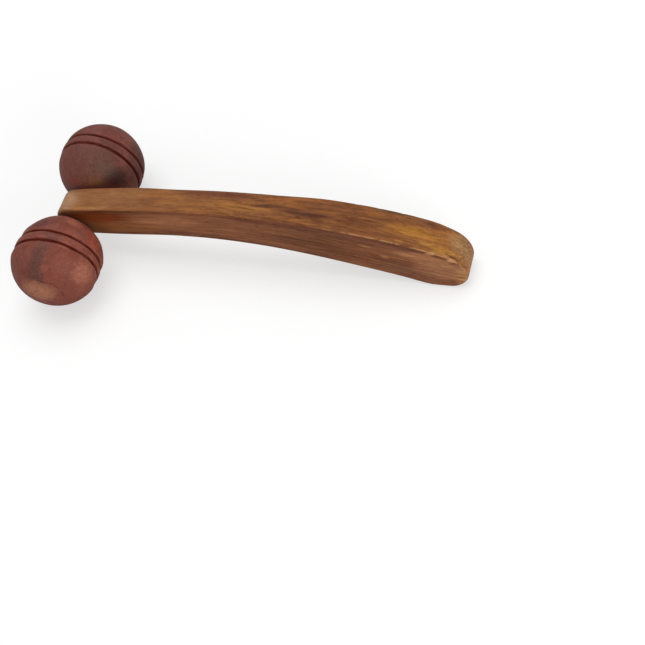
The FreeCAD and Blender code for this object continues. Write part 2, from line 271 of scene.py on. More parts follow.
def lumps(points, size, seed):
    """Signed smooth noise at each point; size is its length in mm on each axis."""
    shift = np.array((seed * 1.7, seed * 0.9 + 4.0, seed * 2.3 - 7.0))
    return np.array([field_noise.noise(Vector(p)) for p in points / np.array(size, float) + shift])


def relief(points, layers, seed=0):
    """Layered noise; each layer is its height, its size on each axis and its seed."""
    return sum(height * lumps(points, size, seed + extra) for height, size, extra in layers)


def nets(value, low, step):
    """Quads round the zero surface of a value grid, one vertex per crossed cell."""
    size = np.array(value.shape)
    inside = value < 0
    total = np.zeros(tuple(size - 1) + (3,))
    count = np.zeros(tuple(size - 1))

    def at_corner(corner):
        return value[tuple(slice(c, n - 1 + c) for c, n in zip(corner, size))]

    # each vertex is the mean of the crossings on its cell's twelve edges
    for axis in range(3):
        for a in (0, 1):
            for b in (0, 1):
                corner = [a, b]
                corner.insert(axis, 0)
                start = at_corner(corner)
                end = at_corner([1 if k == axis else corner[k] for k in range(3)])
                cross = (start < 0) != (end < 0)
                share = np.where(cross, start / np.where(cross, start - end, 1.0), 0.0)
                for k in range(3):
                    total[..., k] += cross * (share if k == axis else corner[k])
                count += cross
    used = count > 0
    index = np.full(used.shape, -1)
    index[used] = np.arange(used.sum())
    verts = np.argwhere(used) + total[used] / count[used][:, None]
    verts = verts * np.array(step) + np.array(low)
    # each crossed grid edge gets a quad through the four cells round it
    quads = []
    for axis in range(3):
        near = [slice(1, n - 1) for n in size]
        near[axis] = slice(0, size[axis] - 1)
        far = list(near)
        far[axis] = slice(1, size[axis])
        shift = np.array([1, 1, 1])
        shift[axis] = 0
        cells = np.argwhere(inside[tuple(near)] != inside[tuple(far)]) + shift
        u, v = ((1, 2), (2, 0), (0, 1))[axis]
        corners = []
        for du, dv in ((0, 0), (1, 0), (1, 1), (0, 1)):
            cell = cells.copy()
            cell[:, u] -= du
            cell[:, v] -= dv
            corners.append(index[tuple(cell.T)])
        quad = np.stack(corners, 1)
        flip = ~inside[tuple(cells.T)]
        quad[flip] = quad[flip][:, ::-1]
        quads.append(quad)
    return verts, np.concatenate(quads)


def make_object(name, points, faces, attributes, sharp_deg):
    """A smooth-shaded mesh in the row frame from points in mm about the axle."""
    mesh = bpy.data.meshes.new(name)
    place = (points + np.array((AXLE_X, 0.0, AXLE_Z))) / 1000.0
    mesh.from_pydata(place.tolist(), [], faces.tolist())
    mesh.update()
    for key, values in attributes.items():
        layer = mesh.attributes.new(key, "FLOAT", "POINT")
        layer.data.foreach_set("value", values.astype(np.float32))
    mesh.polygons.foreach_set("use_smooth", np.ones(len(faces), bool))
    mesh.set_sharp_from_angle(angle=math.radians(sharp_deg))
    return link(name, mesh)


def link(name, data):
    ob = bpy.data.objects.new(name, data)
    scene.collection.objects.link(ob)
    return ob


# ---------------------------------------------------------------- handle shape
# The side outline is a top curve (x, z), a belly curve (x, z) and a round nose between them.
NOSE_X, NOSE_Z, NOSE_R = -0.7, 1.7, 8.75
TOP = spline([(-1.78, 10.38), (12.44, 12.15), (58.17, 18.06), (117.98, 16.52), (161.88, 10.2),
              (191.06, 1.48), (204.04, -5.2), (206.69, -19.52), (199.29, -22.5), (196.5, -22.5)],
             [0, .30, .55, .76, .86, .92, .96, 1], 260)
BELLY = spline([(187.5, -22.5), (184.2, -22.5), (173.2, -19.4), (148.44, -13.1), (109.56, -4.05),
                (67.93, -2.45), (32.02, -5.44), (10.81, -6.81), (-0.52, -7.05)],
               [0, .10, .25, .45, .65, .82, 1], 150)
# Half the outline seen from above: x, half width.
PLAN = spline([(14, 7.7), (55, 7.85), (105, 9.1), (155, 9.65), (190, 9.75), (204.6, 9.9),
               (208.2, 7.4), (208.6, 0)], [0, .24, .5, .76, .93, 1], 160)
ARCH = (3.714, -15.761, 9.308, 7.083, 1.767)    # middle line's polynomial, highest power first
ROD_HOLE_R = 2.52
# Grid for meshing the handle; its z is measured from the arched middle line.
GRID_LOW, GRID_STEP, GRID_COUNT = (-12.0, -12.25, -14.9), (0.55, 0.5, 0.5), (402, 50, 61)
# Relief layers: height, size on each axis, seed.
HANDLE_RELIEF = ((0.10, (38, 22, 22), 3), (0.055, (19, 6.5, 6.5), 8),
                 (0.030, (24, 1.7, 1.7), 14), (0.016, (9, 1.15, 1.15), 19))
# Small knocks in the surface: place, half size along and across, depth.
KNOCKS = [((157.2, -9.6, 2.6), 4.2, 0.8, 0.30), ((166.0, -9.6, -4.0), 2.8, 1.1, 0.28),
          ((197.2, -8.9, -1.6), 4.2, 1.0, 0.30), ((188.0, -9.0, 0.9), 2.2, 0.9, 0.22),
          ((121.0, 9.2, 12.8), 2.4, 0.8, 0.25), ((172.0, 9.6, -2.0), 2.6, 0.9, 0.25)]


def side_view():
    start, end = (math.atan2(z - NOSE_Z, x - NOSE_X) % (2 * math.pi)
                  for x, z in (BELLY[-1], TOP[0]))
    turn = np.linspace(start, end, 42)[1:-1]
    nose = np.stack([NOSE_X + NOSE_R * np.cos(turn), NOSE_Z + NOSE_R * np.sin(turn)], 1)
    return Outline(np.concatenate([TOP, BELLY, nose]), low=(-14, -27), high=(212, 23))


def plan_view():
    half = np.concatenate([[(-30.0, 7.7)], PLAN])
    whole = np.concatenate([half, half[::-1][1:] * (1, -1)])
    return Outline(whole, low=(-14, -1), high=(212, 15))


side_outline = side_view()
plan_outline = plan_view()


def arch_height(along):
    """Height of the middle line at `along` hundreds of mm; takes numbers or a node Value."""
    height = along * ARCH[0] + ARCH[1]
    for factor in ARCH[2:]:
        height = height * along + factor
    return height


def arch(x):
    return arch_height(x / 100.0)


def handle_value(points):
    """Distance-like value of the handle, and how far each point lies to its two outlines.
    Also gives rise, the height from the middle line, about -1 to 1 from belly to top."""
    x, y, z = points.T
    side_gap = side_outline(x, z)
    half_height = 9.0 + 3.6 * ease(x, 90, 165) - 2.6 * ease(x, 180, 200)
    rise = np.clip((z - arch(x)) / half_height, -1.4, 1.4)
    near = ease(-y, -2.0, 2.0)          # 1 on the -Y side; the two long sides differ a little
    lean = 0.22 + (0.08 + (0.10 + 0.42 * near) * ease(-rise, 0.1, 0.7)) * ease(x, 174, 192)
    plan_gap = plan_outline(x, np.abs(y) + rise * lean)
    # softened edges: crisp by the head and the tail, well rounded in between
    top_r = (0.8 + 2.2 * ease(x, 30, 62) * (1 - ease(x, 108, 140)) + 1.5 * (1 - ease(x, -6, 8))
             + (1.3 + 1.6 * (1 - near)) * ease(x, 186, 202))
    low_r = (1.4 + 0.8 * ease(x, 20, 60) - 0.8 * ease(x, 150, 190)
             + 2.2 * (1 - near) * ease(x, 184, 202))
    radius = top_r + (low_r - top_r) * ease(-rise, -0.3, 0.3)
    side_part, plan_part = np.maximum(side_gap + radius, 0), np.maximum(plan_gap + radius, 0)
    value = (np.minimum(np.maximum(side_gap, plan_gap), -radius)
             + np.sqrt(side_part * side_part + plan_part * plan_part))
    return value, side_gap, plan_gap, rise


def handle_surface(points):
    """The handle's value with the rod hole taken out."""
    return np.maximum(handle_value(points)[0], ROD_HOLE_R - np.hypot(points[:, 0], points[:, 2]))


def handle_slope(points, reach=0.2):
    return np.stack([(handle_surface(points + d) - handle_surface(points - d)) / (2 * reach)
                     for d in np.eye(3) * reach], 1)


def plain_handle():
    """The handle's points and faces, drawn onto its smooth surface."""
    axes = [low + step * np.arange(n) for low, step, n in zip(GRID_LOW, GRID_STEP, GRID_COUNT)]
    grid = np.stack([g.ravel() for g in np.meshgrid(*axes, indexing="ij")], 1)
    grid[:, 2] += arch(grid[:, 0])
    points, faces = nets(handle_surface(grid).reshape(GRID_COUNT), GRID_LOW, GRID_STEP)
    points[:, 2] += arch(points[:, 0])
    for _ in range(4):
        slope = handle_slope(points)
        points = points - (handle_surface(points) / (slope * slope).sum(1))[:, None] * slope
    return points, faces


def shaped_handle():
    points, faces = plain_handle()
    slope = handle_slope(points)
    normal = slope / np.linalg.norm(slope, axis=1)[:, None]
    _, side_gap, plan_gap, rise = handle_value(points)
    edge_side = side_gap - plan_gap             # 0 on an edge, above 0 on top or belly
    x, y, z = points.T
    flow = np.stack([x, y, z - arch(x)], 1)
    lift = relief(flow, HANDLE_RELIEF)
    # the upper edges are worn down, more raggedly towards the tail
    ridge = bell(edge_side, 1.1) * ease(rise, 0.0, 0.3) * (0.25 + 0.75 * ease(x, 136, 150))
    lift -= ridge * (0.05 + 0.30 * np.maximum(0, lumps(flow, (3.4, 2.4, 2.4), 27) - 0.05))
    nick = np.zeros(len(points))
    for (knock_x, knock_y, knock_z), along, across, depth in KNOCKS:
        up = z - knock_z - (arch(x) - arch(knock_x))
        mark = bell(x - knock_x, along) * bell(y - knock_y, 2.0) * bell(up, across)
        lift -= depth * mark
        nick = np.maximum(nick, mark)
    free = ease(np.hypot(x, z), 2.7, 6.0)       # no relief at the rod hole
    points = points + normal * (lift * free)[:, None]
    points[:, 2] = np.maximum(points[:, 2], -AXLE_Z)
    ob = make_object("handle_shaped", points, faces,
                     {"edge_side": edge_side, "nick": nick, "rise": rise}, sharp_deg=55)
    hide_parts("handle")
    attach(ob, "handle_body")
    return ob


# ---------------------------------------------------------------- ball shape
BALL_R = 22.5
HUB = 21.94                 # from the ball's middle to its flat inner end
BORE_R = 2.58
RECESS_R, RECESS_FLOOR = 4.02, 14.15
MOUTH_R = RECESS_R + 0.22   # where the recess meets the ball's skin
CREASE_RHO = 10.4           # distance of the outer step from the bore
AROUND = 320
BALL_RELIEF = ((0.16, (17, 17, 17), 11), (0.05, (5, 8, 5), 2),
               (0.018, (1.4, 5, 1.4), 21), (0.014, (1.1, 1.1, 1.1), 31))
# Line of a small wrinkle beside the outer step: x, z.
WRINKLE = ((11.1, 1.6), (10.8, 0.5), (10.3, -0.8), (10.6, -2.4))


def ball_latitudes():
    """Angles from hub to mouth, closer together at the grooves and the outer step."""
    high = math.acos(MOUTH_R / BALL_R)
    crease = math.acos(CREASE_RHO / BALL_R)
    lats = [-math.asin(HUB / BALL_R)]
    while lats[-1] < high:
        here = abs(lats[-1] * BALL_R)
        if 1.2 < here < 4.5:
            step = 0.15
        elif abs(lats[-1] - crease) * BALL_R < 1.1:
            step = 0.17
        else:
            step = 0.47
        lats.append(lats[-1] + step / BALL_R)
    lats[-1] = high
    return np.array(lats)[:, None]


def outer_step(x, z, out, rho, sway, ragged):
    """A shallow turned step round the left ball's outer pole, worn away on one side.
    Gives how far it lowers the surface, and its crease line."""
    azimuth = np.degrees(np.arctan2(z, x))
    outside = out > 0
    seen = ease(azimuth, -14, 10) * (1 - ease(azimuth, 112, 140))
    wander = CREASE_RHO + 0.75 * sway + (0.7 - 1.3 * ease(azimuth, 10, 110))
    line = ease(azimuth, 18, 30) * (1 - ease(azimuth, 74, 100)) * (1 + 0.35 * ragged)
    crease = bell(rho - wander, 0.30) * np.clip(line, 0, 1) * outside
    step = seen * outside * ease(-rho, -wander, -wander + 1.6) * ease(rho, 4.4, 6.5)
    lower = 0.17 * crease + 0.10 * step
    for (x0, z0), (x1, z1) in zip(WRINKLE, WRINKLE[1:]):
        run_x, run_z = x1 - x0, z1 - z0
        share = np.clip(((x - x0) * run_x + (z - z0) * run_z) / (run_x ** 2 + run_z ** 2), 0, 1)
        gap = np.hypot(x - x0 - share * run_x, z - z0 - share * run_z)
        tear = 0.8 * bell(gap, 0.42) * outside
        lower = lower + 0.20 * tear
        crease = np.maximum(crease, tear)
    return lower, crease


def turned_ball(name, side, seed, plump, cant, mid, half, offset, waist, dents):
    """A ball turned about the axle; `out` runs along the axle, away from the handle.
    plump is how much larger than its drawing this hand-turned ball came out, in mm. Its
    grooves were cut slightly askew of the bore: cant gives that tilt in degrees towards
    x and z, mid the middle between the grooves and half their distance from it, in mm.
    offset is how far its surface sits off the bore along x, waist how much lower the belt
    with the grooves is, and dents lists (direction, spread, height) of flats or swellings."""
    flat = ball_latitudes()
    theta = np.linspace(0, 2 * math.pi, AROUND, endpoint=False)
    degrees = np.degrees(theta)
    ring_x, ring_z = np.cos(theta), np.sin(theta)
    ring = np.stack([ring_x * 22, 0 * ring_x, ring_z * 22], 1)
    sway = lumps(ring, (16, 16, 16), seed)
    sway2 = lumps(ring, (9, 9, 9), seed + 5)
    ragged = lumps(ring, (1.5, 1.5, 1.5), seed + 41)
    tilt_x, tilt_z = (math.sin(math.radians(angle)) for angle in cant)
    askew = mid - BALL_R * (ring_x * tilt_x + ring_z * tilt_z)
    lat = flat + askew / BALL_R * (1 - ease(np.abs(flat) * BALL_R, 5.5, 19.0))
    out = np.sin(lat) * BALL_R
    rho = np.cos(lat) * BALL_R
    x, z = rho * ring_x, rho * ring_z

    skin = np.stack([x.ravel(), out.ravel() * side, z.ravel()], 1)
    shape = relief(skin, BALL_RELIEF, seed).reshape(out.shape) + 0.12 * bell(out, 7.0) - 0.05
    shape += plump * ease(rho, 4.3, 13.0)
    shape += offset * np.cos(lat) * ring_x - waist * (1 - ease(np.abs(out), 4.0, 7.2))
    for aim, spread, height in dents:
        aim = np.array(aim) / np.linalg.norm(aim)
        facing = np.cos(lat) * ring_x * aim[0] + np.sin(lat) * aim[1] + np.cos(lat) * ring_z * aim[2]
        shape += height * np.exp(-2 * BALL_R ** 2 * (1 - facing) / spread ** 2)

    cut = np.zeros(out.shape)
    for sign, swing, depth_swing in ((-1, sway, sway2), (1, sway2, sway)):
        centre = sign * half + 0.22 * swing + 0.09 * sign * ragged
        if side < 0:
            centre = centre - 1.1 * bell(degrees - 158.0, 30.0)
        if side < 0 and sign > 0:
            # near +X the outer groove runs inwards, so the grooves draw together
            centre = centre - 1.05 * bell((degrees + 188.0) % 360.0 - 180.0, 34.0)
        width = 1.55 if sign * side > 0 else 1.40
        width = width * (1 + 0.22 * sway2 + 0.14 * sign * ragged)
        share = np.clip(np.abs(np.sin(flat) * BALL_R - centre) / width, 0, 1)
        bowl = 0.5 * (1 + np.cos(math.pi * share))
        cut = np.maximum(cut, bowl)
        shape -= bowl * 0.98 * (1 + 0.25 * depth_swing)
    crease = np.zeros(out.shape)
    if side < 0:
        lower, crease = outer_step(x, z, out, rho, sway2, ragged)
        shape -= lower

    radius = BALL_R + shape * ease(rho, 4.3, 6.5)
    shell = np.stack([radius * np.cos(lat) * ring_x, radius * np.sin(lat),
                      radius * np.cos(lat) * ring_z], -1)
    mouth = math.sqrt(BALL_R ** 2 - MOUTH_R ** 2)
    inner = [np.stack([r * ring_x, np.full(AROUND, height), r * ring_z], 1)
             for r, height in ((RECESS_R, mouth - 0.2), (RECESS_R, RECESS_FLOOR),
                               (BORE_R, RECESS_FLOOR), (BORE_R, -HUB))]
    rings = np.concatenate([shell, np.array(inner)], 0)
    points = rings.reshape(-1, 3) * (1, side, 1) + (0, side * BALL_Y, 0)
    count = len(rings)
    i, j = np.meshgrid(np.arange(count), np.arange(AROUND), indexing="ij")
    row, next_row = i * AROUND, ((i + 1) % count) * AROUND
    next_j = (j + 1) % AROUND
    faces = np.stack([row + j, next_row + j, next_row + next_j, row + next_j], -1).reshape(-1, 4)
    if side > 0:
        faces = faces[:, ::-1]
    pad = np.zeros((len(inner), AROUND))
    ob = make_object(name + "_turned", points, faces,
                     {"cut": np.concatenate([cut, pad]).ravel(),
                      "crease": np.concatenate([crease, pad]).ravel()}, sharp_deg=38)
    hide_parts(name)
    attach(ob, "left_roller" if side < 0 else "right_roller")
    return ob


# ---------------------------------------------------------------- handle wood
WIDE = 60.0     # half size of a patch on the axis it runs right through
# Colour patches on the top face: x, y, half size in x and y, colour, amount.
TOP_PATCHES = (
    # the second patch on the next line, pale and greyish at the nose, is a painted sheen
    (22, 1, 34, 10, (154, 108, 74), 0.75), (-4, 0, 13, 12, (174, 141, 116), 0.90),
    # the next two, golden-orange to pale tan along the head's -Y top edge, are a painted highlight
    # on that edge
    (6, -6.2, 10, 2.4, (182, 126, 64), 0.50), (17, -6.4, 11, 2.2, (178, 136, 92), 0.50),
    (62, -8.2, 46, 2.3, (110, 68, 40), 0.70), (78, 5.2, 30, 3.4, (118, 70, 50), 0.85),
    (73, 1.6, 13, 2.4, (118, 76, 46), 0.55), (60, -2.4, 16, 2.6, (156, 108, 62), 0.60),
    (95, -2.6, 17, 2.9, (160, 112, 56), 0.80), (107, -0.4, 10, 1.5, (84, 46, 32), 0.65),
    (113, 4.8, 14, 3.0, (166, 108, 58), 0.80), (124, 2.6, 9, 2.0, (164, 106, 54), 0.70),
    (122, -6.6, 20, 2.0, (160, 104, 54), 0.65), (126.5, -2.3, 13, 1.9, (80, 44, 32), 0.80),
    (136, 1.2, 8, 1.8, (154, 102, 50), 0.60), (128, 7.0, 15, 2.6, (162, 104, 58), 0.75),
    (147, -0.4, 10, 3.2, (116, 67, 35), 0.75), (146, -3.4, 10, 3.0, (106, 60, 30), 0.62),
    (160, -6.8, 24, 2.2, (110, 62, 34), 0.65), (163, 2.2, 12, 1.9, (116, 72, 42), 0.65),
    (158, 5.0, 10, 2.4, (156, 98, 48), 0.65), (168, 8.6, 14, 1.9, (96, 72, 54), 0.75),
    (180, -0.4, 19, 4.6, (168, 118, 50), 0.85), (172, -2.4, 8, 1.9, (128, 74, 38), 0.50),
    (188, 6.2, 11, 2.6, (106, 68, 54), 0.75), (192, -5.6, 12, 3.0, (178, 130, 62), 0.80),
    # the last patch on the next line, pale and greyish on the tail's end, is a painted sheen
    (197.7, -7.8, 2.6, 0.9, (92, 54, 30), 0.70), (202, 1.0, 9, 10, (168, 136, 100), 0.75))
# On the sides: x, height from the middle line, half size in x and height, colour, amount.
SIDE_PATCHES = (
    # the first patch, dark orange-brown beside the ball, is painted shade with the ball's red
    # bounced onto the side
    (16, 4.0, 24, 5.2, (120, 58, 20), 0.85), (30, -3.0, 28, 4.5, (144, 92, 50), 0.6),
    (78, -1.0, 44, 6.0, (146, 96, 64), 0.40), (54, 2.0, 26, 3.8, (166, 114, 82), 0.55),
    (166, 4.0, 36, 3.8, (144, 94, 64), 0.45), (142, -1.0, 36, 9.0, (110, 68, 44), 0.50),
    (178, -6.0, 24, 4.0, (122, 88, 68), 0.5), (186, 6.2, 19, 4.6, (170, 120, 88), 0.82),
    (189, -3.0, 16, 4.6, (152, 104, 80), 0.70), (194, 1.0, 17, 8.0, (156, 112, 84), 0.75),
    # this patch, pale and greyish on the tail's end, is a painted sheen
    (205, -1.0, 8, 11.0, (172, 130, 92), 0.8))


def late_wood(look, place, flow, height, grain_y, streak):
    """Growth rings: each year darkens slowly, then ends in a sharp dark line."""
    bend = look.streaks(flow, along=75, across=11, seed=91, rough=0.55) - 0.5
    year = height * 0.52 + grain_y * 0.20 + bend * 6.5 + (streak - 0.5) * 0.55
    year = look.math("FRACT", year)
    late = year.ramp(low=0.35, high=0.93, blend="LINEAR") * year.ramp(low=1.0, high=0.95)
    strength = look.streaks(place, along=38, across=7, seed=95, detail=2.0)
    return late * strength.ramp(low=0.36, high=0.58)


def top_face(look, x, grained, warped, broad, streak, fibre, late, blotch, flamed):
    """Golden brown, with longer red-brown and dark flames."""
    top = look.mix(broad.ramp(low=0.36, high=0.64), srgb(156, 105, 60), srgb(132, 86, 54))
    dusky = x.ramp(low=104.0, high=122.0) * x.ramp(low=172.0, high=150.0)
    top = top.toward(srgb(116, 70, 40), dusky * 0.60)
    for centre_x, centre_y, half_x, half_y, colour, amount in TOP_PATCHES:
        patch = look.spot(warped, (centre_x, centre_y, 0), (half_x, half_y, WIDE), soft=0.75)
        top = top.toward(srgb(*colour), patch * amount)
    grain = (streak - 0.5) * 0.95 + (fibre - 0.5) * 0.85
    top = top.shaded(grain * (flamed * 0.72 + 0.28) + 1.0, warm=0.35)
    # dark flames, then pale ones
    flame = look.streaks(grained, along=15, across=1.9, seed=61, detail=5.0, rough=0.66)
    dark_flame = flame.ramp(low=0.57, high=0.70) * 0.62
    top = top.toward(srgb(92, 50, 32), dark_flame * (flamed * 0.85 + 0.10))
    top = top.toward(srgb(184, 132, 72), flame.ramp(low=0.42, high=0.30) * 0.45 * flamed)
    top = top.shaded(1.0 - late * (flamed * 0.20 + 0.10), warm=0.4)
    return top.shaded(blotch * (0.85 + flamed * -0.25) + 1.0, warm=0.2)


def side_faces(look, place, x, y, height, wave, broad, fibre, late, blotch):
    """Plainer red-brown with long straight lines."""
    side = look.mix(broad.ramp(low=0.36, high=0.62), srgb(135, 89, 63), srgb(115, 72, 54))
    for centre_x, centre_z, half_x, half_z, colour, amount in SIDE_PATCHES:
        patch = look.spot(look.join(x, 0.0, height),
                          (centre_x, 0, centre_z), (half_x, WIDE, half_z))
        side = side.toward(srgb(*colour), patch * amount)
    straight = look.join(x, y * 0.3, height + wave * 2.2)
    line = look.streaks(straight, along=62, across=1.5, seed=31, detail=4.0, rough=0.6)
    lined = (line - 0.5) * 1.35 + (fibre - 0.5) * 0.5
    strength = look.streaks(place, along=45, across=12, seed=71, detail=1.0)
    lined = lined * (strength.ramp(low=0.35, high=0.6) * 0.6 + 0.4)
    side = side.shaded(lined + 1.0, warm=0.25)
    return side.shaded(1.08 - late * 0.38 + blotch * 0.25, warm=0.3)


def edge_marks(look, wood, place, x, edge, rise, streak):
    """Dark lines beside the handle's edges, and pale wear along them."""
    # a thin dark line under the upper edges, strongest by the head
    below = (edge + 1.5).size().ramp(low=1.1, high=0.1) * rise.ramp(low=0.1, high=0.4)
    below = below * (x.ramp(low=62.0, high=30.0) * 0.45 + 0.35)
    below = below * x.ramp(low=2.0, high=24.0, to_low=0.35)
    broken = look.streaks(place, along=13, across=4, seed=41).ramp(low=0.40, high=0.60)
    wood = wood.toward(srgb(82, 42, 22), below * broken)
    # and a fainter one above the lower edges
    above = (edge + 2.3).size().ramp(low=0.9, high=0.2) * rise.ramp(low=-0.1, high=-0.4)
    above = above * (x.ramp(low=18.0, high=34.0) * x.ramp(low=150.0, high=120.0))
    broken = look.streaks(place, along=19, across=4, seed=43)
    broken = broken.ramp(low=0.36, high=0.52, to_low=0.15, to_high=0.62)
    wood = wood.toward(srgb(88, 50, 34), above * broken)
    # the upper edges are worn pale towards the tail, in broken runs
    crest = (edge - 0.05).size().ramp(low=0.62, high=0.12) * rise.ramp(low=0.2, high=0.5)
    chips = look.streaks(place, along=7.0, across=2.2, seed=21, detail=4.0, rough=0.65)
    rub = crest * chips.ramp(low=0.43, high=0.56) * (x.ramp(low=132.0, high=152.0) * 0.80 + 0.10)
    fade = x.ramp(low=150.0, high=185.0, to_low=0.58, to_high=0.72)
    wood = wood.toward(srgb(206, 158, 108), rub * fade)
    # two pale chips on the -Y side, and the knocks
    chipped = look.math("MAXIMUM",
                        look.spot(place, (189.5, -9.2, 0.6), (4.6, 1.8, 1.5), soft=0.8),
                        look.spot(place, (198.4, -9.2, -3.6), (3.6, 1.8, 2.0), soft=0.8))
    wood = wood.toward(srgb(212, 166, 120), chipped * streak.ramp(low=0.36, high=0.52) * 0.55)
    knocked = look.attribute("nick").ramp(low=0.25, high=0.95) * 0.55
    return wood.toward(srgb(186, 138, 98), knocked * streak.ramp(low=0.34, high=0.56))


def handle_wood():
    look = Look("handle_wood_look")
    place = look.place_mm()
    x, y, z = look.split(place)
    # the grain follows the arch and wavers a little
    height = z - arch_height(x * 0.01)
    flow = look.join(x, y, height)
    wave = look.streaks(flow, along=55, across=26, seed=2, detail=2.0) - 0.5
    wave2 = look.streaks(flow, along=30, across=12, seed=7, detail=2.0) - 0.5
    grain_y = y + wave * 5.0
    grained = look.join(x, grain_y, height + wave2 * 3.0)
    broad = look.streaks(grained, along=58, across=4.6, seed=11, detail=2.5)
    streak = look.streaks(grained, along=30, across=1.7, seed=5, detail=4.0, rough=0.6)
    fine = look.streaks(grained, along=13, across=0.6, seed=3, rough=0.6)
    pore = look.streaks(grained, along=3.4, across=0.24, seed=9, detail=2.0)
    fibre = look.streaks(grained, along=20, across=0.85, seed=51, detail=4.0, rough=0.62)
    hair = look.streaks(grained, along=26, across=0.32, seed=83, rough=0.6)
    blotch = look.mottle(flow, per_mm=(0.16, 0.42, 0.42), detail=5.0, rough=0.68) - 0.5
    edge = look.attribute("edge_side")
    rise = look.attribute("rise")
    warped = look.join(x + wave2 * 16.0, y + (streak - 0.5) * 5.0, height + (streak - 0.5) * 5.0)
    late = late_wood(look, place, flow, height, grain_y, streak)
    flamed = x.ramp(low=40.0, high=90.0)        # the figure is stronger away from the head

    top = top_face(look, x, grained, warped, broad, streak, fibre, late, blotch, flamed)
    side = side_faces(look, place, x, y, height, wave, broad, fibre, late, blotch)
    under = edge.ramp(low=-0.3, high=0.8) * rise.ramp(low=0.0, high=-0.3)
    side = side.toward(srgb(120, 78, 52), under * 0.5)
    wood = side.toward(top, edge.ramp(low=-0.5, high=0.6) * rise.ramp(low=0.1, high=0.4))

    dark = srgb(74, 40, 22)
    wood = wood.toward(dark, fine.ramp(low=0.54, high=0.74) * 0.26)
    # the vessels show as short dark dashes
    dash = look.streaks(grained, along=5.2, across=0.55, seed=15, detail=2.0, rough=0.55)
    dash = dash.ramp(low=0.57, high=0.68)
    wood = wood.shaded(1.0 - dash * (flamed * 0.20 + 0.14), warm=0.4)
    pores = pore.ramp(low=0.58, high=0.68)
    wood = wood.toward(dark, pores * (flamed * 0.28 + 0.18))
    wood = wood.shaded((hair - 0.5) * (0.25 + flamed * 0.35) + 1.0, warm=0.3)
    wood = edge_marks(look, wood, place, x, edge, rise, streak)
    tone = (1.03, 0.94, 0.80)
    wood = look.vmath("MULTIPLY", wood, tone)

    rough = 0.44 + fine * 0.16 + pores * 0.12
    relief_height = fine * -0.5 + (pores + dash) * -0.8 + streak * 0.35
    normal = look.bump(relief_height, distance=0.00006, strength=0.55)
    return look.finish(wood, rough, normal, specular=0.14, coat=0.02, coat_rough=0.35)


# ---------------------------------------------------------------- ball wood
# Colour patches: centre (x, out along the axle, z), half sizes, colour, amount.
LEFT_PATCHES = (
    ((9.9, 12.3, 16.0), (7.0, 8.0, 8.0), (116, 66, 55), 0.60),
    ((-9.0, 9.3, 18.0), (6.0, 9.0, 8.0), (124, 74, 62), 0.60),
    ((-4.2, 15.5, 15.2), (4.2, 9.0, 8.0), (112, 66, 66), 0.50),
    ((3.0, 7.8, 21.0), (5.4, 7.5, 8.0), (92, 62, 55), 0.62),
    ((1.2, 12.9, 18.1), (5.6, 9.0, 8.0), (88, 61, 54), 0.74),
    ((0.0, 17.6, 13.0), (5.6, 9.0, 8.6), (86, 61, 54), 0.76),
    ((5.6, 0.0, 21.5), (8.0, 5.0, 5.0), (102, 66, 62), 0.65),
    ((-1.0, 22.0, 3.0), (13.0, 5.5, 9.4), (166, 117, 92), 0.85),
    ((19.5, -10.0, 6.6), (6.5, 8.5, 7.5), (158, 84, 62), 0.74),
    ((12.5, 12.0, 14.5), (8.0, 7.0, 7.0), (134, 80, 66), 0.45),
    # the next patch, pale toward +X where the key light falls, is a painted highlight
    ((19.4, 9.0, 4.2), (7.5, 8.5, 9.0), (168, 109, 87), 0.68),
    ((-3.4, -7.4, 20.8), (8.5, 5.0, 5.5), (98, 58, 58), 0.85),
    ((9.6, -13.6, 15.0), (7.0, 6.0, 6.5), (158, 98, 80), 0.85),
    ((-14.5, 12.0, 12.5), (8.0, 9.0, 8.0), (122, 74, 60), 0.55))
RIGHT_PATCHES = (
    ((4.0, -12.0, 17.5), (20.0, 13.0, 14.0), (106, 69, 56), 0.75),
    # the next patch is a painted shadow: the handle's shadow on the side of the ball facing it
    ((16.0, -12.7, 7.8), (11.0, 7.4, 8.6), (52, 40, 35), 0.74),
    # the next patch is painted shade: the +X side darker, out of the key light
    ((21.0, 2.0, 4.0), (9.0, 14.0, 12.0), (84, 50, 46), 0.55),
    ((12.5, -12.3, 14.0), (9.0, 7.0, 7.0), (98, 74, 58), 0.50),
    # these two orange patches by the handle are partly the wood's tone and partly a painted
    # reflection of the handle
    ((7.0, -18.7, 9.6), (9.0, 3.0, 4.0), (122, 80, 44), 0.80),
    ((-6.0, -19.3, 9.6), (9.0, 3.0, 4.0), (136, 66, 50), 0.70),
    ((13.5, -5.5, 16.5), (8.0, 6.0, 7.0), (94, 62, 54), 0.60),
    ((-6.0, -4.0, 21.5), (12.0, 5.0, 8.0), (114, 70, 58), 0.35),
    ((13.2, -0.6, 18.0), (11.0, 3.6, 9.0), (92, 54, 48), 0.55))


